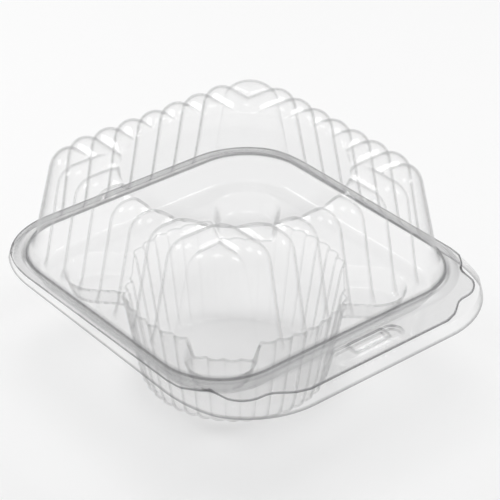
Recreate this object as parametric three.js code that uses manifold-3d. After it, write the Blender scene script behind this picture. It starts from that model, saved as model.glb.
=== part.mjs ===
// Clear hinged box for one large cupcake, thermoformed from a single sheet.
// The tray has a fluted well with four finger troughs, a shelf and a wide front flange.
// The dome lid has a ribbed wall and crown, and swings down about the fold at the back.
// Units are millimetres. The origin is the centre of the well's resting face, +Z is up,
// the latch is towards -Y and the hinge towards +Y.
import * as THREE from "three";
import * as BufferGeometryUtils from "three/addons/utils/BufferGeometryUtils.js";
import Module from "manifold-3d";

const wasm = await Module();
wasm.setup();

// Driving dimensions: the sheet and its fit
const SHEET = 0.4;
const NEST_GAP = 0.3;

// Heights above the resting face
const FLANGE_TOP = 39.6;
const TRAY_DEPTH = 6.5;
const TROUGH_DEPTH = 6.2;
const SKIRT_DEPTH_FRONT = 3.4;
const SKIRT_DEPTH_BACK = 1;

// Dome profile
const DOME_HEIGHT = 34.2;
const DOME_FOOT_HALF = 50;
const DOME_DRAFT = 12.7;
const SHOULDER_RADIUS = 7;
const SHOULDER_STEPS = 3;
const PANEL_RADIUS = 29.3;
const PANEL_DEPTH = 5;
const PANEL_RIM_WIDTH = 3.6;

// Ribs of the dome, each a convex arc
const RIBS_PER_SIDE = 7;
const RIB_PITCH = 8.53;
const RIB_RADIUS = 5.4;
const RIB_START = 2;
const RIB_FULL = 8;
const RIB_STEPS = 4;

// Flange, and the closure bead round the dome
const BEAD_WIDTH = 4.6;
const BEAD_HEIGHT = 1.7;
const BEAD_SLOPE = 0.6;
const FLANGE_HALF = 55;
const FLANGE_FRONT = 65;
const FLANGE_FRONT_RADIUS = 29;
const LID_FRONT = 64;
const SKIRT_FLARE = 0.9;
const CORNER_STEPS = 8;

// Edge of the lid flange round each front corner: distances to the side and to the front
const LOBE = [
  [FLANGE_HALF, 38], [53.6, 42.5], [48.2, 47.4], [46.9, 52], [41.5, 58.1], [36.4, 58.5],
  [31, 62.1], [26, LID_FRONT],
];
const LOBE_STEPS = 18;

// Tray, well and finger troughs
const SHELF_HALF = 46;
const SHELF_CORNER = 17;
const WELL_RIM_RADIUS = 33.6;
const WELL_FLOOR_RADIUS = 28;
const WELL_FOOT_FILLET = 1.2;
const FLUTES = 40;
const FLUTE_STEPS = 4;
const FLUTE_DEPTH = 1.1;
const TROUGH_HALF_WIDTH = 10;
const TROUGH_REACH = 51;
const TROUGH_DRAFT = 1.6;

// Snap latch in the middle of the front flange
const LATCH_Y = -58.6;
const LATCH_LENGTH = 24;
const LATCH_WIDTH = 5.9;
const LATCH_HEIGHT = 1;
const LATCH_DRAFT = 0.5;
const KEY_LENGTH = 13;
const KEY_WIDTH = 4;
const KEY_HEIGHT = 1.1;

const TAU = Math.PI * 2;
const RIB_SPAN = (RIBS_PER_SIDE * RIB_PITCH) / 2;
const FOOT_CORNER = DOME_FOOT_HALF - RIB_SPAN;
const LID_UNDERSIDE = FLANGE_TOP + NEST_GAP;
const LID_TOP = LID_UNDERSIDE + SHEET;
const SHELF_TOP = FLANGE_TOP - TRAY_DEPTH;
const CLEAR = 1;

// Solids from lofted rings of points

function toSolid(positions, index) {
  const raw = new THREE.BufferGeometry();
  raw.setAttribute("position", new THREE.Float32BufferAttribute(positions, 3));
  raw.setIndex(index);
  const merged = BufferGeometryUtils.mergeVertices(raw, 1e-4);
  const corners = merged.index.array;
  const kept = [];
  for (let i = 0; i < corners.length; i += 3) {
    const [a, b, c] = corners.slice(i, i + 3);
    if (a !== b && b !== c && c !== a) kept.push(a, b, c);
  }
  return new wasm.Manifold(new wasm.Mesh({
    numProp: 3,
    vertProperties: new Float32Array(merged.attributes.position.array),
    triVerts: new Uint32Array(kept),
  }));
}

function toGeometry(solid) {
  const mesh = solid.getMesh();
  const geometry = new THREE.BufferGeometry();
  geometry.setAttribute("position", new THREE.BufferAttribute(mesh.vertProperties.slice(), 3));
  geometry.setIndex(new THREE.BufferAttribute(mesh.triVerts.slice(), 1));
  geometry.computeVertexNormals();
  return geometry;
}

function stitch(index, count, ring, next) {
  for (let i = 0; i < count; i++) {
    const j = (i + 1) % count;
    const a = ring * count + i;
    const b = ring * count + j;
    const c = next * count + j;
    const d = next * count + i;
    index.push(a, b, c, a, c, d);
  }
}

// A closed body from rings of equal length, anticlockwise from above, the lowest first
function loft(rings) {
  const count = rings[0].length;
  const positions = rings.flat().flatMap((p) => [p.x, p.y, p.z]);
  const index = [];
  for (let ring = 0; ring < rings.length - 1; ring++) stitch(index, count, ring, ring + 1);
  const fan = (ring, start, flip) => {
    const centre = new THREE.Vector3();
    ring.forEach((p) => centre.add(p));
    centre.divideScalar(count);
    const hub = positions.length / 3;
    positions.push(centre.x, centre.y, centre.z);
    for (let i = 0; i < count; i++) {
      const j = (i + 1) % count;
      if (flip) index.push(hub, start + j, start + i);
      else index.push(hub, start + i, start + j);
    }
  };
  fan(rings[0], 0, true);
  fan(rings.at(-1), (rings.length - 1) * count, false);
  return toSolid(positions, index);
}

// A closed band whose section is the rings in order, outer foot first, and back to the first
function band(rings) {
  const positions = rings.flat().flatMap((p) => [p.x, p.y, p.z]);
  const index = [];
  rings.forEach((points, ring) => stitch(index, points.length, ring, (ring + 1) % rings.length));
  return toSolid(positions, index);
}

// Plan outlines

function arc(x, y, radius, from, turn, steps) {
  return Array.from({ length: steps + 1 }, (_, i) => {
    const angle = TAU * (from + (turn * i) / steps);
    return new THREE.Vector2(x + radius * Math.cos(angle), y + radius * Math.sin(angle));
  });
}

// Rounded rectangle, anticlockwise from the +X side, with its back and front corner radii
function flangeOutline(half, front, back, backRadius, frontRadius) {
  return [
    ...arc(half - backRadius, back - backRadius, backRadius, 0, 0.25, CORNER_STEPS),
    ...arc(backRadius - half, back - backRadius, backRadius, 0.25, 0.25, CORNER_STEPS),
    ...arc(frontRadius - half, frontRadius - front, frontRadius, 0.5, 0.25, CORNER_STEPS),
    ...arc(half - frontRadius, frontRadius - front, frontRadius, 0.75, 0.25, CORNER_STEPS),
  ];
}

function squareOutline(half, radius) {
  return flangeOutline(half, half, half, radius, radius);
}

function atHeight(outline, z) {
  return outline.map((p) => new THREE.Vector3(p.x, p.y, z instanceof Function ? z(p) : z));
}

// Flange, bead and skirt

function plate(outline, low, high) {
  const geometry = new THREE.ExtrudeGeometry(new THREE.Shape(outline), {
    depth: high - low,
    bevelEnabled: false,
  });
  geometry.translate(0, 0, low);
  geometry.deleteAttribute("normal");
  geometry.deleteAttribute("uv");
  const merged = BufferGeometryUtils.mergeVertices(geometry, 1e-4);
  return toSolid([...merged.attributes.position.array], [...merged.index.array]);
}

// Bead of trapezium section standing on the height base, grown outwards on both flanks
function bead(grow, base, foot) {
  const ring = (half, z) => atHeight(squareOutline(half, half - RIB_SPAN), z);
  const outer = DOME_FOOT_HALF + BEAD_WIDTH + grow;
  const inner = DOME_FOOT_HALF - grow;
  return band([
    ring(outer, foot),
    ring(outer, base),
    ring(outer - BEAD_SLOPE, base + BEAD_HEIGHT),
    ring(inner + BEAD_SLOPE, base + BEAD_HEIGHT),
    ring(inner, base),
    ring(inner, foot),
  ]);
}

function trayEdge(grow, backGrow) {
  return flangeOutline(FLANGE_HALF + grow, FLANGE_FRONT + grow, FLANGE_HALF + backGrow,
    FOOT_CORNER + BEAD_WIDTH + grow, FLANGE_FRONT_RADIUS + grow);
}

function skirt() {
  const low = (p) => {
    const share = THREE.MathUtils.clamp((FLANGE_HALF - p.y) / (FLANGE_HALF + FLANGE_FRONT), 0, 1);
    return FLANGE_TOP - SHEET - THREE.MathUtils.lerp(SKIRT_DEPTH_BACK, SKIRT_DEPTH_FRONT, share);
  };
  return band([
    atHeight(trayEdge(SKIRT_FLARE, 0), low),
    atHeight(trayEdge(0, 0), FLANGE_TOP),
    atHeight(trayEdge(-SHEET, -SHEET), FLANGE_TOP),
    atHeight(trayEdge(SKIRT_FLARE - SHEET, -SHEET), low),
  ]);
}

// Lid flange: round back corners, and a wavy edge at either side of the wide front tab
function lidEdge() {
  const lobe = (side) => new THREE.SplineCurve(LOBE.map(([x, y]) => new THREE.Vector2(side * x, -y)))
    .getPoints(LOBE_STEPS);
  const radius = FOOT_CORNER + BEAD_WIDTH;
  const centre = FLANGE_HALF - radius;
  return [
    ...arc(centre, centre, radius, 0, 0.25, CORNER_STEPS),
    ...arc(-centre, centre, radius, 0.25, 0.25, CORNER_STEPS),
    ...lobe(-1),
    ...lobe(1).reverse(),
  ];
}

// Dome

// Height of the rib section over the valley line at s along a side, inset into the sheet
function ribLift(s, inset) {
  const fromCentre = ((Math.abs(s) + RIB_PITCH / 2) % RIB_PITCH) - RIB_PITCH / 2;
  const radius = RIB_RADIUS - inset;
  return Math.sqrt(radius ** 2 - fromCentre ** 2) - Math.sqrt(RIB_RADIUS ** 2 - (RIB_PITCH / 2) ** 2);
}

const RIB_HEIGHT = ribLift(0, 0);

// Stations round the dome: rib points along each straight side, then a round corner pillar
const stations = [];
for (let side = 0; side < 4; side++) {
  const out = new THREE.Vector2(1, 0).rotateAround(new THREE.Vector2(), (TAU / 4) * side);
  const along = new THREE.Vector2(-out.y, out.x);
  for (let i = 0; i < RIBS_PER_SIDE * RIB_STEPS; i++) {
    stations.push({ out, along, s: -RIB_SPAN + (RIB_PITCH * i) / RIB_STEPS, turn: 0 });
  }
  for (let i = 0; i < CORNER_STEPS; i++) {
    stations.push({ out, along, s: RIB_SPAN, turn: i / CORNER_STEPS });
  }
}

function stationLift({ s, turn }, inset) {
  if (turn === 0) return ribLift(s, inset);
  return RIB_HEIGHT * Math.sqrt(Math.sin(Math.PI * turn)) - inset;
}

// Plan point of a station on the outline whose sides lie at half from the centre
function stationPoint({ out, along, s, turn }, half) {
  const corner = Math.min(half, RIB_SPAN);
  const radius = half - corner;
  const angle = (TAU / 4) * turn;
  const outward = turn === 0 ? half : corner + radius * Math.cos(angle);
  const sideways = turn === 0 ? THREE.MathUtils.clamp(s, -half, half) : corner + radius * Math.sin(angle);
  return new THREE.Vector2().addScaledVector(out, outward).addScaledVector(along, sideways);
}

// Ring of the wall or shoulder: the valley line at half and z, with ribs along the normal
function wallRing(half, z, slope, strength, inset) {
  return stations.map((station) => {
    const lift = strength * stationLift(station, inset) - (1 - strength) * inset;
    const plan = stationPoint(station, half + lift * Math.cos(slope));
    return new THREE.Vector3(plan.x, plan.y, z + lift * Math.sin(slope));
  });
}

// Plan of the crown at half, held outside the circle of the panel's rim
function crownPlan(station, half, circle) {
  const rim = Math.sqrt(circle ** 2 - Math.min(Math.abs(station.s), circle) ** 2);
  return stationPoint(station, Math.max(half, rim));
}

// Ring of the crown, where ribs of neighbouring sides mitre on the diagonals
function crownRing(half, z, circle, inset) {
  return stations.map((station) => {
    const plan = crownPlan(station, half, circle);
    const nearest = Math.min(Math.abs(plan.x), Math.abs(plan.y), RIB_SPAN);
    return new THREE.Vector3(plan.x, plan.y, z + ribLift(nearest, inset));
  });
}

// Ring inside the crown, every station on a circle
function panelRing(radius, z, circle) {
  return stations.map((station) => {
    const plan = crownPlan(station, 0, circle).setLength(radius);
    return new THREE.Vector3(plan.x, plan.y, z);
  });
}

// The whole dome as a closed body, with its skin moved inwards by inset
function dome(inset, foot) {
  const slope = THREE.MathUtils.degToRad(DOME_DRAFT);
  const crown = FLANGE_TOP + DOME_HEIGHT - RIB_HEIGHT;
  const radius = SHOULDER_RADIUS - RIB_HEIGHT;
  const centreZ = crown - radius;
  const wallAt = (z) => DOME_FOOT_HALF - (z - LID_TOP) * Math.tan(slope);
  const tangentZ = centreZ + radius * Math.sin(slope);
  const centreHalf = wallAt(tangentZ) - RIB_HEIGHT - radius * Math.cos(slope);
  const start = LID_TOP + RIB_START;
  const full = LID_TOP + RIB_FULL;
  const rings = [
    wallRing(DOME_FOOT_HALF, foot, 0, 0, inset),
    wallRing(DOME_FOOT_HALF, LID_TOP, 0, 0, inset),
    wallRing(wallAt(start), start, 0, 0, inset),
    wallRing(wallAt(full) - RIB_HEIGHT, full, slope, 1, inset),
  ];
  for (let i = 0; i <= SHOULDER_STEPS; i++) {
    const angle = slope + (TAU / 4 - slope) * (i / SHOULDER_STEPS);
    const half = centreHalf + radius * Math.cos(angle);
    rings.push(wallRing(half, centreZ + radius * Math.sin(angle), angle, 1, inset));
  }
  const circle = PANEL_RADIUS + PANEL_RIM_WIDTH;
  for (let i = 0; i < RIB_STEPS; i++) {
    const half = Math.max(RIB_SPAN - (RIB_PITCH * i) / RIB_STEPS, circle * Math.SQRT1_2);
    rings.push(crownRing(half, crown, circle, inset));
  }
  rings.push(crownRing(circle * Math.SQRT1_2, crown, circle, inset));
  rings.push(panelRing(circle - PANEL_RIM_WIDTH / 3, crown - inset, circle));
  rings.push(panelRing(PANEL_RADIUS, crown + RIB_HEIGHT - PANEL_DEPTH - inset, circle));
  return loft(rings);
}

// Latch: a racetrack with a raised key on it

function racetrack(grow) {
  const radius = LATCH_WIDTH / 2 + grow;
  const reach = (LATCH_LENGTH - LATCH_WIDTH) / 2;
  return [
    ...arc(reach, LATCH_Y, radius, -0.25, 0.5, CORNER_STEPS),
    ...arc(-reach, LATCH_Y, radius, 0.25, 0.5, CORNER_STEPS),
  ];
}

function keyOutline(grow) {
  const x = KEY_LENGTH / 2 + grow;
  const y = KEY_WIDTH / 2 + grow;
  return [[x, -y], [x, y], [-x, y], [-x, -y]].map(([a, b]) => new THREE.Vector2(a, LATCH_Y + b));
}

function latch(grow, base, foot) {
  const step = base + LATCH_HEIGHT;
  const oval = loft([
    atHeight(racetrack(grow), foot),
    atHeight(racetrack(grow), base),
    atHeight(racetrack(grow - LATCH_DRAFT), step),
  ]);
  const key = loft([
    atHeight(keyOutline(grow - LATCH_DRAFT / 2), step - SHEET / 2),
    atHeight(keyOutline(grow - LATCH_DRAFT), step + KEY_HEIGHT),
  ]);
  return oval.add(key);
}

// Hollow of the tray, or its outside when grown by the sheet

function fluteRing(radius, z, depth) {
  const count = FLUTES * FLUTE_STEPS;
  return Array.from({ length: count }, (_, i) => {
    const angle = (TAU * i) / count;
    const swell = Math.sin((Math.PI * (i % FLUTE_STEPS)) / FLUTE_STEPS) - 0.5;
    const r = radius + depth * swell;
    return new THREE.Vector3(r * Math.cos(angle), r * Math.sin(angle), z);
  });
}

function well(grow, top) {
  const floor = SHEET - grow;
  return loft([
    fluteRing(WELL_FLOOR_RADIUS - WELL_FOOT_FILLET + grow, floor, FLUTE_DEPTH * 0.6),
    fluteRing(WELL_FLOOR_RADIUS + grow, floor + WELL_FOOT_FILLET, FLUTE_DEPTH),
    fluteRing(WELL_RIM_RADIUS + grow, top, FLUTE_DEPTH),
  ]);
}

function trough(grow, top, turn) {
  const outline = (shrink) => {
    const half = TROUGH_HALF_WIDTH + grow - shrink;
    return [
      new THREE.Vector2(0, -half),
      ...arc(TROUGH_REACH - TROUGH_HALF_WIDTH, 0, half, -0.25, 0.5, CORNER_STEPS),
      new THREE.Vector2(0, half),
    ].map((p) => p.rotateAround(new THREE.Vector2(), TAU * turn));
  };
  const floor = SHELF_TOP - TROUGH_DEPTH - grow;
  return loft([atHeight(outline(TROUGH_DRAFT), floor), atHeight(outline(0), top)]);
}

function trayHollow(grow, top) {
  const rim = DOME_FOOT_HALF - SHEET + grow;
  const mouth = loft([
    atHeight(squareOutline(SHELF_HALF + grow, SHELF_CORNER + grow), SHELF_TOP - grow),
    atHeight(squareOutline(rim, rim - RIB_SPAN), FLANGE_TOP),
    atHeight(squareOutline(rim, rim - RIB_SPAN), top),
  ]);
  const join = SHELF_TOP - grow + SHEET / 2;
  return [0.125, 0.375, 0.625, 0.875].reduce(
    (hollow, turn) => hollow.add(trough(grow, join, turn)),
    mouth.add(well(grow, join)));
}

function makeTray() {
  const inset = SHEET + NEST_GAP;
  const underside = FLANGE_TOP - SHEET;
  return plate(trayEdge(0, 0), underside, FLANGE_TOP)
    .add(skirt())
    .add(bead(-inset, FLANGE_TOP, underside))
    .add(latch(0, FLANGE_TOP, underside))
    .add(trayHollow(SHEET, FLANGE_TOP))
    .subtract(bead(-inset - SHEET, underside, underside - CLEAR))
    .subtract(latch(-SHEET, underside, underside - CLEAR))
    .subtract(trayHollow(0, FLANGE_TOP + CLEAR));
}

function makeLid() {
  return plate(lidEdge(), LID_UNDERSIDE, LID_TOP)
    .add(dome(0, LID_UNDERSIDE))
    .add(bead(0, LID_TOP, LID_UNDERSIDE))
    .add(latch(SHEET + NEST_GAP, LID_TOP, LID_UNDERSIDE))
    .subtract(bead(-SHEET, LID_UNDERSIDE, LID_UNDERSIDE - CLEAR))
    .subtract(latch(NEST_GAP, LID_UNDERSIDE, LID_UNDERSIDE - CLEAR))
    .subtract(dome(SHEET, LID_UNDERSIDE - CLEAR));
}

// Assembly

const clearPlastic = new THREE.MeshStandardMaterial({
  color: 0xf2f4f5,
  roughness: 0.06,
  transparent: true,
  opacity: 0.3,
});

function piece(name, solid) {
  const mesh = new THREE.Mesh(toGeometry(solid), clearPlastic.clone());
  mesh.name = name;
  return mesh;
}

const box = new THREE.Group();
box.add(piece("base_tray", makeTray()));
box.add(piece("lid_dome", makeLid()));

export default box;
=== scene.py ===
import math
from collections import namedtuple

import bmesh
import bpy
from mathutils import Matrix, Vector


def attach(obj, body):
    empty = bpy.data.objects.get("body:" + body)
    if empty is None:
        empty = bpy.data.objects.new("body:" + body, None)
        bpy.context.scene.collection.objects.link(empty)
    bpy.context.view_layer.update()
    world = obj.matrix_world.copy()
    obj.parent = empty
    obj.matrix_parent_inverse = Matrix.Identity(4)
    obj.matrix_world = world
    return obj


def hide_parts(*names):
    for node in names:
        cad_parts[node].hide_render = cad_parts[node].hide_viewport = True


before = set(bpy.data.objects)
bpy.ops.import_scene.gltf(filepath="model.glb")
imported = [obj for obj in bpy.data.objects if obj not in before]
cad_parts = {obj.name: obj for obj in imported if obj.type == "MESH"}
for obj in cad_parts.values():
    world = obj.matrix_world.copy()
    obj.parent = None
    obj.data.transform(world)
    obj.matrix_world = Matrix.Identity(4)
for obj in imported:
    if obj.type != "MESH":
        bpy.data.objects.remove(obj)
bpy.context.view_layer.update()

# Table and studio. The box stands on a white sheet that runs on behind it, under soft
# boxes, with a pale grey room round them for the plastic to mirror.
MM = 0.001
FLOOR_COLOR = (0.95, 0.95, 0.95, 1)
FLOOR_ROUGHNESS = 0.9
FLOOR_GLOSS = 0.1
FLOOR_SIZE = 6
FLOOR_Z = -0.0001
ROOM_COLOR = (0.67, 0.67, 0.67, 1)
SOFT_BOXES = [
    # name, place (m), size (m), watts
    ("overhead_box", (0.0, 0.08, 1.15), (0.5, 0.4), 1.8),
    ("back_left_box", (-0.30, 0.62, 0.60), (0.27, 0.24), 1.3),
    ("front_right_box", (0.60, -0.35, 0.75), (0.24, 0.28), 1.5),
]
VIEW_AZIMUTH = math.radians(-39.95)
VIEW_ELEVATION = math.radians(32.168)
VIEW_ROLL = math.radians(0.408)
VIEW_DISTANCE = 596.739
VIEW_ASIDE = (-4.468, -2.549)
VIEW_HEIGHT = 39.9
VIEW_LENS = 144.418
SENSOR_WIDTH = 36
NEAREST_SEEN = 0.02
SHEETS_SEEN_THROUGH = 64

scene = bpy.context.scene
bpy.ops.object.select_all(action="DESELECT")
bpy.ops.mesh.primitive_plane_add(size=FLOOR_SIZE, location=(0, 0, FLOOR_Z))
floor = bpy.context.object
floor.name = "white_table"
floor_paint = bpy.data.materials.new("white_table_paint")
floor_paint.use_nodes = True
floor_shader = floor_paint.node_tree.nodes["Principled BSDF"]
floor_shader.inputs["Base Color"].default_value = FLOOR_COLOR
floor_shader.inputs["Roughness"].default_value = FLOOR_ROUGHNESS
floor_shader.inputs["Specular IOR Level"].default_value = FLOOR_GLOSS
floor.data.materials.append(floor_paint)

for box_name, box_place, box_size, watts in SOFT_BOXES:
    bpy.ops.object.light_add(type="AREA", location=box_place)
    lamp = bpy.context.object
    lamp.name = box_name
    lamp.data.shape = "RECTANGLE"
    lamp.data.size, lamp.data.size_y = box_size
    lamp.data.energy = watts
    aim = Vector((0, 0, VIEW_HEIGHT * MM)) - Vector(box_place)
    lamp.rotation_euler = aim.to_track_quat("-Z", "Y").to_euler()

room = bpy.data.worlds.new("grey_room")
room.use_nodes = True
room_light = room.node_tree.nodes["Background"]
room_light.inputs["Color"].default_value = ROOM_COLOR
room_light.inputs["Strength"].default_value = 1
scene.world = room
scene.view_settings.view_transform = "Standard"

back = Vector((math.sin(VIEW_AZIMUTH) * math.cos(VIEW_ELEVATION),
               -math.cos(VIEW_AZIMUTH) * math.cos(VIEW_ELEVATION),
               math.sin(VIEW_ELEVATION)))
level = Vector((math.cos(VIEW_AZIMUTH), math.sin(VIEW_AZIMUTH), 0))
right = level * math.cos(VIEW_ROLL) + back.cross(level) * math.sin(VIEW_ROLL)
up = back.cross(right)
eye = (back * VIEW_DISTANCE - right * VIEW_ASIDE[0] - up * VIEW_ASIDE[1]
       + Vector((0, 0, VIEW_HEIGHT)))
turned = Matrix((right, up, back)).transposed().to_4x4()
bpy.ops.object.camera_add()
camera = bpy.context.object
camera.matrix_world = Matrix.Translation(eye * MM) @ turned
camera.data.lens = VIEW_LENS
camera.data.sensor_width = SENSOR_WIDTH
camera.data.clip_start = NEAREST_SEEN
scene.camera = camera
scene.cycles.transparent_max_bounces = SHEETS_SEEN_THROUGH


# Lid. The upper half of the box: a ribbed dome with a round panel sunk in its crown, a raised
# bead that snaps over the tray's, and a flange with lobed front corners and the latch's cap.
# It is one clear sheet of polyester, 0.4 mm thick, drawn into a mould.
SHEET = 0.4
NEST_GAP = 0.3
FLANGE_TOP = 39.6
LID_TOP = FLANGE_TOP + NEST_GAP + SHEET

# Ribs of the dome, and the smooth pillar at each corner.
RIB_PITCH = 8.53
RIBS = 7
RIB_RADIUS = 5.4
RIB_SPAN = RIB_PITCH * RIBS / 2
RIB_HEIGHT = RIB_RADIUS - math.sqrt(RIB_RADIUS ** 2 - (RIB_PITCH / 2) ** 2)
RIB_STEPS = 14
CORNER_STEPS = 28
PILLAR_HEIGHT = 0.5

# Dome's wall, shoulder and crown.
DRAFT = math.radians(12.7)
DOME_FOOT = 50
DOME_CREST = FLANGE_TOP + 34.2
CROWN = DOME_CREST - RIB_HEIGHT
SHOULDER = 7 - RIB_HEIGHT
CROWN_RINGS = 10
TOP_RINGS = 7
SHOULDER_STEPS = 12
WALL_RINGS = 5
RIB_FOOT = 8
RIB_FADE = 6.4
FADE_RINGS = 9

# Round panel in the crown, and the rim where the ribs end.
PANEL_Z = DOME_CREST - 3.3
PANEL_RADII = [23, 25, 27, 29, 30.5, 32, 32.8]
PANEL_FOOT = 25.5
PANEL_SLOPE = 11
RIM_CIRCLE = 36.5
RIM_RINGS = 9
RIB_END = 33.2

# Bead, as half widths and rises above the flange, and the painted shade on its rings: darkest
# along the groove at its inner foot, light grey over the rest.
LID_BEAD = [(49.9, 0.5), (50, 0.2), (50.15, 0.05), (50.35, 0.3), (50.6, 0.9), (50.85, 1.35),
            (51.2, 1.62), (51.7, 1.7), (52.4, 1.5), (53.2, 1.0), (53.9, 0.5), (54.3, 0.2),
            (54.6, 0.02)]
GROOVE_SHADE = [0.3, 0.8, 0.8, 0.3]
LID_BEAD_SHADE = 0.12

# Flange, its lobed front corners from the side to the front, and its narrow cut edge, with a
# faint painted shade over the flange and a dark painted shade on the cut edge.
SIDE_SLIM = 0.74
FLANGE_HALF = 55
LID_FRONT = 64
FRONT_STRAIGHT = 26
FRONT_TAPER = 0.32
LID_LOBE = [(55, 29.86), (FLANGE_HALF, 36.5), (54.2, 41), (50.8, 44.6), (47.6, 47.4),
            (46.9, 50.6), (46.3, 53.9), (44, 56.6), (41, 58.2), (38.4, 58.4), (36, 58.6),
            (34.2, 59.7), (32, 61.4), (29.86, 62.75)]
FLANGE_RINGS = 18
EDGE_LINE = 0.4
FLANGE_SHADE = 0.08
EDGE_SHADE = [0.8, 1]
LEFT_SIDE = 2
FRONT_SIDE = 3

# Latch: a racetrack with a block on it.
LATCH_Y = -58.6
LATCH_LENGTH = 24
LATCH_WIDTH = 5.9
LATCH_HEIGHT = 1.0
LATCH_INSET = 0.3
LATCH_SOFTNESS = 0.7
KEY_LENGTH = 13
KEY_WIDTH = 4
KEY_HEIGHT = 1.1
KEY_INSET = 0.4
KEY_SOFTNESS = 0.6
KEY_RAMP = 1.7
# Width and strength of the painted shade along the rim of the block.
KEY_LINE = 0.5
KEY_RIM_SHADE = 0.5

Station = namedtuple("Station", "outward sideways along turn side")


def smooth(edge, softness, value):
    """Rises from 0 to 1 as value falls past edge, over the given softness."""
    share = min(max((edge - value) / softness + 0.5, 0), 1)
    return share * share * (3 - 2 * share)


def rib_lift(along):
    """Height of the convex rib section above its valley line."""
    offset = (abs(along) + RIB_PITCH / 2) % RIB_PITCH - RIB_PITCH / 2
    return math.sqrt(RIB_RADIUS ** 2 - offset ** 2) - (RIB_RADIUS - RIB_HEIGHT)


lid_stations = []
for side in range(4):
    quarter = math.pi / 2 * side
    outward = Vector((round(math.cos(quarter)), round(math.sin(quarter))))
    sideways = Vector((-outward.y, outward.x))
    for step in range(RIBS * RIB_STEPS):
        along = -RIB_SPAN + RIB_PITCH * step / RIB_STEPS
        lid_stations.append(Station(outward, sideways, along, 0, side))
    for step in range(CORNER_STEPS):
        lid_stations.append(Station(outward, sideways, RIB_SPAN, step / CORNER_STEPS, side))


def station_lift(station, pillar=RIB_HEIGHT):
    """How far a rib, or a corner's pillar, stands out at a station."""
    if station.turn == 0:
        return rib_lift(station.along)
    return pillar * math.sqrt(math.sin(math.pi * station.turn))


def on_square(station, half):
    """Plan point of a station on the rounded square whose sides lie at half from the centre."""
    outward, sideways, along, turn, _ = station
    corner = min(half, RIB_SPAN)
    if turn == 0:
        return outward * half + sideways * min(max(along, -half), half)
    angle = math.pi / 2 * turn
    radius = half - corner
    return (outward * (corner + radius * math.cos(angle))
            + sideways * (corner + radius * math.sin(angle)))


def on_crown(station, half, circle):
    """The same, but held outside the round panel's rim."""
    along = min(abs(station.along), circle / math.sqrt(2))
    return on_square(station, max(half, math.sqrt(circle ** 2 - along ** 2)))


def along_path(points, share):
    """Point at a share of the length of a polyline."""
    lengths = [math.dist(a, b) for a, b in zip(points, points[1:])]
    left = share * sum(lengths)
    for (a, b), length in zip(zip(points, points[1:]), lengths):
        if left <= length:
            return Vector(a).lerp(Vector(b), left / length)
        left -= length
    return Vector(points[-1])


def lid_edge(station):
    """Where the flange's cut edge lies at a station: plain on three sides, lobed in front."""
    plain = on_square(station, FLANGE_HALF)
    if station.side == FRONT_SIDE and station.turn == 0:
        past_straight = max(abs(station.along) - FRONT_STRAIGHT, 0)
        return Vector((plain.x, past_straight * FRONT_TAPER - LID_FRONT))
    if station.side == LEFT_SIDE and station.turn > 0:
        return -along_path(LID_LOBE, station.turn)
    if station.side == FRONT_SIDE:
        spot = along_path(LID_LOBE, 1 - station.turn)
        return Vector((spot.x, -spot.y))
    return plain


def latch_height(x, y, grow):
    """Height of the latch above the flange, for a sheet that lies grow outside the stud."""
    radius = LATCH_WIDTH / 2 + grow
    reach = (LATCH_LENGTH - LATCH_WIDTH) / 2
    from_track = math.hypot(max(abs(x) - reach, 0), y - LATCH_Y)
    from_key = max(abs(x) - KEY_LENGTH / 2, abs(y - LATCH_Y) - KEY_WIDTH / 2) - grow + KEY_INSET
    ramp = min(max((y - LATCH_Y + KEY_WIDTH / 2 + grow) / KEY_RAMP, 0), 1)
    key = KEY_HEIGHT * min(smooth(0, KEY_SOFTNESS, from_key), ramp)
    return LATCH_HEIGHT * smooth(radius - LATCH_INSET, LATCH_SOFTNESS, from_track) + key


def latch_edge(x, y):
    """1 on the sharp rim of the latch's block, 0 away from it, as the mask of the painted shade
    there.
    """
    from_key = max(abs(x) - KEY_LENGTH / 2, abs(y - LATCH_Y) - KEY_WIDTH / 2)
    return max(1 - abs(from_key) / KEY_LINE, 0)


def lid_ring(plan, height):
    """A ring of points round the lid, from its plan and its height at each station."""
    return [(*plan(station), height(station)) for station in lid_stations]


def crown_level(radius):
    """Height of the crown between its ribs, which dips gently into the round panel."""
    return CROWN - (CROWN - PANEL_Z) * smooth(PANEL_FOOT + PANEL_SLOPE / 2, PANEL_SLOPE, radius)


lid_rings = []
for radius in PANEL_RADII:
    lid_rings.append(lid_ring(lambda st: on_crown(st, 0, RIM_CIRCLE).normalized() * radius,
                              lambda st: crown_level(radius)))
for step in range(RIM_RINGS):
    share = step / (RIM_RINGS - 1)
    circle = RIB_END + (RIM_CIRCLE - RIB_END) * share
    swell = math.sqrt(1 - (1 - share) ** 2)

    def rim_height(station):
        spot = on_crown(station, 0, circle)
        lift = rib_lift(min(abs(spot.x), abs(spot.y), RIB_SPAN))
        return crown_level(circle) + lift * swell

    lid_rings.append(lid_ring(lambda st: on_crown(st, 0, circle), rim_height))
low_half = RIM_CIRCLE / math.sqrt(2)
for step in range(CROWN_RINGS):
    half = low_half + (RIB_SPAN - low_half) * step / (CROWN_RINGS - 1)

    def crown_height(station):
        spot = on_crown(station, half, RIM_CIRCLE)
        return CROWN + rib_lift(min(abs(spot.x), abs(spot.y), RIB_SPAN))

    lid_rings.append(lid_ring(lambda st: on_crown(st, half, RIM_CIRCLE), crown_height))


def wall_half(z):
    """Half width of the drafted wall at a height, measured over its ribs."""
    return DOME_FOOT - (z - LID_TOP) * math.tan(DRAFT)


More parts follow.
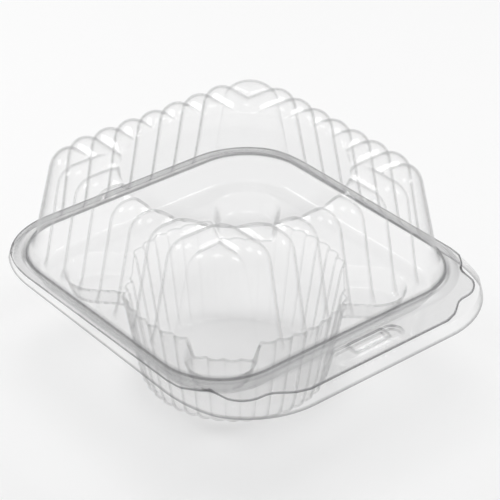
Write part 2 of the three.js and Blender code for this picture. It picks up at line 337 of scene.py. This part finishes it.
turn_z = CROWN - SHOULDER
wall_top = turn_z + SHOULDER * math.sin(DRAFT)
turn_half = wall_half(wall_top) - RIB_HEIGHT - SHOULDER * math.cos(DRAFT)
for step in range(1, TOP_RINGS + 1):
    share = step / (TOP_RINGS + 1)
    half = RIB_SPAN + (turn_half - RIB_SPAN) * share
    pillar = math.sqrt(1 - (1 - share) ** 2)

    def top_height(station):
        return CROWN + station_lift(station) * (pillar if station.turn else 1)

    lid_rings.append(lid_ring(lambda st: on_crown(st, half, RIM_CIRCLE), top_height))


def lifted_ring(half, z, slope):
    """Ring of the shoulder or wall, with the ribs standing out along its normal."""
    return lid_ring(
        lambda st: on_square(st, half + station_lift(st, PILLAR_HEIGHT) * math.cos(slope)),
        lambda st: z + station_lift(st) * math.sin(slope))


for step in range(SHOULDER_STEPS + 1):
    slope = math.pi / 2 + (DRAFT - math.pi / 2) * step / SHOULDER_STEPS
    lid_rings.append(lifted_ring(turn_half + SHOULDER * math.cos(slope),
                                 turn_z + SHOULDER * math.sin(slope), slope))
for step in range(1, WALL_RINGS + 1):
    z = wall_top + (LID_TOP + RIB_FOOT - wall_top) * step / WALL_RINGS
    lid_rings.append(lifted_ring(wall_half(z) - RIB_HEIGHT, z, DRAFT))
for step in range(1, FADE_RINGS + 1):
    share = step / FADE_RINGS
    z = LID_TOP + RIB_FOOT - RIB_FADE * share
    sunk = math.sqrt(1 - share ** 2)

    def fading_plan(station):
        valley = RIB_HEIGHT - station_lift(station, PILLAR_HEIGHT)
        return on_square(station, wall_half(z) - sunk * valley)

    lid_rings.append(lid_ring(fading_plan, lambda st: z))

# Painted shade for rings of the bead, the flange with the latch's rim, and the cut edge, which
# the material turns into grey.
lid_shade = {len(lid_rings) + place: painted_shade for place, painted_shade in enumerate(GROOVE_SHADE)}
for half, rise in LID_BEAD:
    lid_shade.setdefault(len(lid_rings), LID_BEAD_SHADE)
    lid_rings.append(lid_ring(lambda st: on_square(st, half), lambda st: LID_TOP + rise))
flange_start = len(lid_rings)
for step in range(1, FLANGE_RINGS + 2):
    share = min(step / FLANGE_RINGS, 1)
    inset = EDGE_LINE if step <= FLANGE_RINGS else 0

    def flange_plan(station):
        edge = lid_edge(station)
        edge -= edge.normalized() * inset
        return on_square(station, LID_BEAD[-1][0]).lerp(edge, share)

    def flange_height(station):
        spot = flange_plan(station)
        return LID_TOP + latch_height(spot.x, spot.y, SHEET + NEST_GAP)

    lid_rings.append(lid_ring(flange_plan, flange_height))
for ring in range(flange_start, len(lid_rings) - len(EDGE_SHADE)):
    lid_shade[ring] = [FLANGE_SHADE + KEY_RIM_SHADE * latch_edge(x, y) for x, y, z in lid_rings[ring]]
for place, painted_shade in enumerate(EDGE_SHADE):
    lid_shade[len(lid_rings) - len(EDGE_SHADE) + place] = painted_shade


def slim(x):
    """Draws the bead and flange in on the two plain sides, where they are narrower."""
    return math.copysign(min(abs(x), DOME_FOOT) + max(abs(x) - DOME_FOOT, 0) * SIDE_SLIM, x)


MERGE_GAP = 2e-6
SLIVER = 1e-6
SOFT_ANGLE = math.radians(50)


def formed_sheet(name, rings, centre_z, ring_shades):
    """A sheet through rings of points, from its middle outwards, thickened downwards."""
    count = len(rings[0])
    mesh = bpy.data.meshes.new(name)
    points = [Vector((slim(x), y, z)) * MM for ring in rings for x, y, z in ring]
    points.append(Vector((0, 0, centre_z * MM)))
    faces = []
    for ring in range(len(rings) - 1):
        for i in range(count):
            j = (i + 1) % count
            a = ring * count
            faces.append((a + i, a + count + i, a + count + j, a + j))
    hub = len(points) - 1
    faces += [(hub, i, (i + 1) % count) for i in range(count)]
    mesh.from_pydata(points, [], faces)
    # Each ring's painted shade goes onto its points, for the material to read.
    shade_layer = mesh.attributes.new("painted_shade", "FLOAT", "POINT")
    for ring, amounts in ring_shades.items():
        for i in range(count):
            amount = amounts[i] if isinstance(amounts, list) else amounts
            shade_layer.data[ring * count + i].value = amount
    work = bmesh.new()
    work.from_mesh(mesh)
    bmesh.ops.remove_doubles(work, verts=work.verts, dist=MERGE_GAP)
    bmesh.ops.dissolve_degenerate(work, edges=work.edges, dist=SLIVER)
    bmesh.ops.recalc_face_normals(work, faces=work.faces)
    highest = max(work.faces, key=lambda face: face.calc_center_median().z)
    if highest.normal.z < 0:
        bmesh.ops.reverse_faces(work, faces=work.faces)
    work.to_mesh(mesh)
    work.free()
    piece = bpy.data.objects.new(name, mesh)
    scene.collection.objects.link(piece)
    bpy.ops.object.select_all(action="DESELECT")
    piece.select_set(True)
    bpy.context.view_layer.objects.active = piece
    thickness = piece.modifiers.new("sheet", "SOLIDIFY")
    thickness.thickness = SHEET * MM
    thickness.offset = -1
    thickness.use_even_offset = False
    bpy.ops.object.modifier_apply(modifier="sheet")
    bpy.ops.object.shade_smooth_by_angle(angle=SOFT_ANGLE)
    return piece


class Shade:
    """A shader socket on which maths reads as an expression."""

    def __init__(self, tree, socket):
        self.tree = tree
        self.socket = socket

    def node(self, kind, settings, inputs):
        """Adds a node, its settings first, then the values or links of its sockets."""
        made = self.tree.nodes.new(kind)
        for key, value in settings.items():
            setattr(made, key, value)
        for key, value in inputs.items():
            if isinstance(value, Shade):
                self.tree.links.new(value.socket, made.inputs[key])
            else:
                made.inputs[key].default_value = value
        return made

    def maths(self, operation, first, second):
        made = self.node("ShaderNodeMath", {"operation": operation}, {0: first, 1: second})
        return Shade(self.tree, made.outputs[0])

    def __add__(self, other):
        return self.maths("ADD", self, other)

    def __mul__(self, other):
        return self.maths("MULTIPLY", self, other)

    def __pow__(self, other):
        return self.maths("POWER", self, other)

    __radd__ = __add__
    __rmul__ = __mul__


# The clear plastic of both halves. Seen square on it is almost all see-through, and it is glossy
# where it is seen edge-on. Its grey is painted shade: a dark grey mixed in where the sheet is
# seen edge-on, for the clear sheet's dark outlines, and more of it from a per-ring attribute
# along the lid's groove, both beads, the lid's flange, the well's lip, the latch's rim and the
# cut edges, where the mirror is also weakened.
CLEAR = (0.993, 0.993, 0.993, 1)
EDGE_GREY = (0.12, 0.12, 0.13, 1)
MIRROR_GREY = (0.9, 0.9, 0.9, 1)
POLYESTER_IOR = 1.57
GREY_SQUARE_ON = 0.002
GREY_FALL = 6
SHADE_STRENGTH = 0.6
MIRROR_SQUARE_ON = 0.022
MIRROR_EDGE_ON = 0.38
MIRROR_FALL = 4
MIRROR_UNDER_SHADE = -0.2

clear_plastic = bpy.data.materials.new("clear_polyester_sheet")
clear_plastic.use_nodes = True
clear_plastic.surface_render_method = "BLENDED"
tree = clear_plastic.node_tree
tree.nodes.clear()
bench = Shade(tree, None)
on_piece = Shade(tree, bench.node("ShaderNodeTexCoord", {}, {}).outputs["Object"])
waves = Shade(tree, bench.node("ShaderNodeTexNoise", {}, {
    "Vector": on_piece, "Scale": 70.0, "Detail": 2.0}).outputs["Fac"])
ripple = Shade(tree, bench.node("ShaderNodeBump", {}, {
    "Strength": 0.12, "Distance": 0.001, "Height": waves}).outputs["Normal"])
facing = Shade(tree, bench.node("ShaderNodeLayerWeight", {}, {
    "Blend": 0.5, "Normal": ripple}).outputs["Facing"])
# The per-ring amount of painted shade.
painted_shade = Shade(tree, bench.node("ShaderNodeAttribute", {
    "attribute_name": "painted_shade"}, {}).outputs["Fac"])
see_through = bench.node("ShaderNodeBsdfTransparent", {}, {"Color": CLEAR})
edge_grey = bench.node("ShaderNodeBsdfPrincipled", {}, {
    "Base Color": EDGE_GREY, "Roughness": 0.15, "IOR": POLYESTER_IOR})
mirror = bench.node("ShaderNodeBsdfPrincipled", {}, {
    "Base Color": MIRROR_GREY, "Roughness": 0.035, "Metallic": 1.0, "Normal": ripple})
# Mix in the painted shade grey, then the mirror, which is weakened under the painted shade.
body = bench.node("ShaderNodeMixShader", {}, {
    "Fac": GREY_SQUARE_ON + facing ** GREY_FALL + SHADE_STRENGTH * painted_shade,
    1: Shade(tree, see_through.outputs[0]), 2: Shade(tree, edge_grey.outputs[0])})
gloss = bench.node("ShaderNodeMixShader", {}, {
    "Fac": MIRROR_SQUARE_ON + MIRROR_EDGE_ON * facing ** MIRROR_FALL + MIRROR_UNDER_SHADE * painted_shade,
    1: Shade(tree, body.outputs[0]), 2: Shade(tree, mirror.outputs[0])})
bench.node("ShaderNodeOutputMaterial", {}, {"Surface": Shade(tree, gloss.outputs[0])})

lid = formed_sheet("lid_sheet", lid_rings, PANEL_Z, lid_shade)
lid.data.materials.append(clear_plastic)
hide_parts("lid_dome")
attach(lid, "lid")


# Tray. The lower half: a fluted well for the cake's paper case, four finger troughs across a
# flat shelf, a bead under the lid's, and a flange with its edge turned down and the latch's
# stud. It is the same clear sheet, joined to the lid by the fold at the back.
TRAY_STATIONS = 480

# Fluted well. Its foot has radius, rise and flute depth, and its lip has distance outwards,
# drop below the rim and share of the flute's depth.
FLUTES = 40
FLUTE_DEPTH = 1.1
WELL_FLOOR = 28
WELL_RIM = 33.6
WELL_STEPS = 8
WELL_FOOT = [(24, 0, 0), (26, 0, 0.2), (26.9, 0.1, 0.5), (27.5, 0.45, 0.9),
             (27.9, 1.1, FLUTE_DEPTH)]
WELL_FOOT_RISE = WELL_FOOT[-1][1]
WELL_LIP = [(0.12, 1.0, 1.0), (0.35, 0.45, 1.0), (0.7, 0.12, 0.9), (1.7, 0, 0.6)]
WELL_LIP_DROP = 1.6
# Painted shade on one ring of the well's lip.
WELL_LIP_SHADE = 0.2
RIM_PATH = 33

# Shelf with its finger troughs, and the tray's wall as half widths and rises above the shelf.
SHELF = FLANGE_TOP - 6.5
SHELF_HALF = 46
SHELF_CORNER = 17
SHELF_INSET = 0.4
SHELF_RINGS = 26
TROUGH_DEPTH = 6.2
TROUGH_REACH = 41
TROUGH_HALF = 9.2
TROUGH_SOFTNESS = 2.6
TRAY_WALL = [(46.2, 0.15), (46.6, 0.7), (47.3, 2), (48, 3.3), (48.7, 4.6), (49.2, 5.6),
             (49.5, 6.2), (49.8, 6.42), (50.3, 6.5)]

# Bead, flange, rolled edge (growth outwards, drop) and skirt.
TRAY_BEAD = [(50.75, 0), (50.95, 0.35), (51.2, 0.85), (51.5, 1.25), (51.9, 1.45),
             (52.4, 1.35), (53.2, 0.85), (53.7, 0.45), (54, 0.1), (54.1, 0.02)]
BEAD_SINK = 0.02
# Painted shade over the tray's bead.
TRAY_BEAD_SHADE = 0.1
TRAY_FRONT = 65
FRONT_RADIUS = 29
FOOT_CORNER = DOME_FOOT - RIB_SPAN
BACK_RADIUS = FOOT_CORNER + 4.6
BACK_GROWTH = 0.3
EDGE_INSET = -0.5
EDGE_ROLL = [(-0.25, 0.06), (-0.05, 0.28), (0.06, 0.6)]
SKIRT_FRONT = 3.4
SKIRT_BACK = 1.0
SKIRT_FLARE = 0.9
SKIRT_STEPS = 3
# Painted shade on the skirt's bottom edge.
SKIRT_SHADE = 0.6

NEAREST, FARTHEST, HALVINGS = 20.0, 100.0, 24


def outline_reach(angle, half, front, back, back_radius, front_radius):
    """Distance from the middle to a rounded rectangle in the direction of an angle."""
    ray = Vector((math.cos(angle), math.sin(angle)))
    low, high = NEAREST, FARTHEST
    for _ in range(HALVINGS):
        middle = (low + high) / 2
        x, y = abs(ray.x * middle), ray.y * middle
        radius = back_radius if y > 0 else front_radius
        edge = back if y > 0 else front
        over_x, over_y = x - half + radius, abs(y) - edge + radius
        if over_x > 0 and over_y > 0:
            inside = math.hypot(over_x, over_y) < radius
        else:
            inside = x < half and abs(y) < edge
        low, high = (middle, high) if inside else (low, middle)
    return low


def square_reach(angle, half, radius):
    """Distance from the middle to a rounded square."""
    return outline_reach(angle, half, half, half, radius, radius)


def tray_edge(angle, grow):
    """Distance from the middle to the tray's outline, grown outwards."""
    return outline_reach(angle, FLANGE_HALF + grow, TRAY_FRONT + grow,
                         FLANGE_HALF + min(grow, BACK_GROWTH),
                         BACK_RADIUS + grow, FRONT_RADIUS + grow)


def shelf_height(x, y):
    """Height of the shelf, lowered in the four diagonal troughs."""
    diagonal = (abs(x) + abs(y)) / math.sqrt(2)
    aside = abs(abs(x) - abs(y)) / math.sqrt(2)
    from_axis = math.hypot(max(diagonal - TROUGH_REACH, 0), aside)
    return SHELF - TROUGH_DEPTH * smooth(TROUGH_HALF, TROUGH_SOFTNESS, from_axis)


def flute(angle, depth):
    """How far a flute stands out from the well's mean wall."""
    phase = angle / (2 * math.pi) * FLUTES % 1
    return depth * (math.sin(math.pi * phase) - 0.5)


angles = [2 * math.pi * i / TRAY_STATIONS for i in range(TRAY_STATIONS)]


def tray_ring(reach, height):
    """A ring of points round the tray, from its distance and its height at each angle."""
    ring = []
    for angle in angles:
        distance = reach(angle)
        x, y = distance * math.cos(angle), distance * math.sin(angle)
        ring.append((x, y, height(angle, x, y)))
    return ring


def well_radius(z):
    """Mean radius of the well's drafted wall at a height."""
    return WELL_FLOOR + (WELL_RIM - WELL_FLOOR) * z / SHELF


rim_heights = {angle: shelf_height(RIM_PATH * math.cos(angle), RIM_PATH * math.sin(angle))
               for angle in angles}
tray_rings = []
for radius, rise, depth in WELL_FOOT:
    tray_rings.append(tray_ring(lambda a: radius + flute(a, depth), lambda a, x, y: SHEET + rise))
for step in range(1, WELL_STEPS + 1):
    share = step / WELL_STEPS

    def wall_z(angle):
        foot = SHEET + WELL_FOOT_RISE
        return foot + (rim_heights[angle] - WELL_LIP_DROP - foot) * share

    tray_rings.append(tray_ring(lambda a: well_radius(wall_z(a)) + flute(a, FLUTE_DEPTH),
                                lambda a, x, y: wall_z(a)))
# Painted shade for rings of the well's lip, the bead and the skirt's bottom edge.
tray_shade = {len(tray_rings) + 1: WELL_LIP_SHADE}
for out, down, depth in WELL_LIP:
    tray_rings.append(tray_ring(
        lambda a: well_radius(rim_heights[a]) + out + flute(a, FLUTE_DEPTH * depth),
        lambda a, x, y: rim_heights[a] - down))
shelf_starts = {angle: well_radius(rim_heights[angle]) + WELL_LIP[-1][0] for angle in angles}
shelf_folds = {angle: square_reach(angle, SHELF_HALF - SHELF_INSET, SHELF_CORNER)
               for angle in angles}
for step in range(1, SHELF_RINGS + 1):
    share = step / SHELF_RINGS
    tray_rings.append(tray_ring(
        lambda a: shelf_starts[a] + (shelf_folds[a] - shelf_starts[a]) * share,
        lambda a, x, y: shelf_height(x, y)))
for half, rise in TRAY_WALL:
    share = (half - SHELF_HALF) / (DOME_FOOT - SHELF_HALF)
    radius = SHELF_CORNER + (FOOT_CORNER - SHELF_CORNER) * share
    tray_rings.append(tray_ring(lambda a: square_reach(a, half, radius),
                                lambda a, x, y: SHELF + rise))
for half, rise in TRAY_BEAD:
    tray_shade[len(tray_rings)] = TRAY_BEAD_SHADE
    tray_rings.append(tray_ring(lambda a: square_reach(a, half, half - RIB_SPAN),
                                lambda a, x, y: FLANGE_TOP + rise - BEAD_SINK))
bead_foot = TRAY_BEAD[-1][0]
bead_foots = {angle: square_reach(angle, bead_foot, bead_foot - RIB_SPAN) for angle in angles}
edges = {angle: tray_edge(angle, EDGE_INSET) for angle in angles}
for step in range(1, FLANGE_RINGS + 1):
    share = step / FLANGE_RINGS
    tray_rings.append(tray_ring(lambda a: bead_foots[a] + (edges[a] - bead_foots[a]) * share,
                                lambda a, x, y: FLANGE_TOP + latch_height(x, y, 0)))
for grow, down in EDGE_ROLL:
    tray_rings.append(tray_ring(lambda a: tray_edge(a, grow), lambda a, x, y: FLANGE_TOP - down))
roll_growth, roll_drop = EDGE_ROLL[-1]
for step in range(1, SKIRT_STEPS + 1):
    share = step / SKIRT_STEPS

    def skirt_z(angle, x, y):
        front = min(max((FLANGE_HALF - y) / (FLANGE_HALF + TRAY_FRONT), 0), 1)
        depth = SHEET + SKIRT_BACK + (SKIRT_FRONT - SKIRT_BACK) * front
        return FLANGE_TOP - roll_drop - (depth - roll_drop) * share

    tray_rings.append(tray_ring(
        lambda a: tray_edge(a, roll_growth + (SKIRT_FLARE - roll_growth) * share), skirt_z))
tray_shade[len(tray_rings) - 1] = SKIRT_SHADE

tray = formed_sheet("tray_sheet", tray_rings, SHEET, tray_shade)
tray.data.materials.append(clear_plastic)
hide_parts("base_tray")
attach(tray, "base")
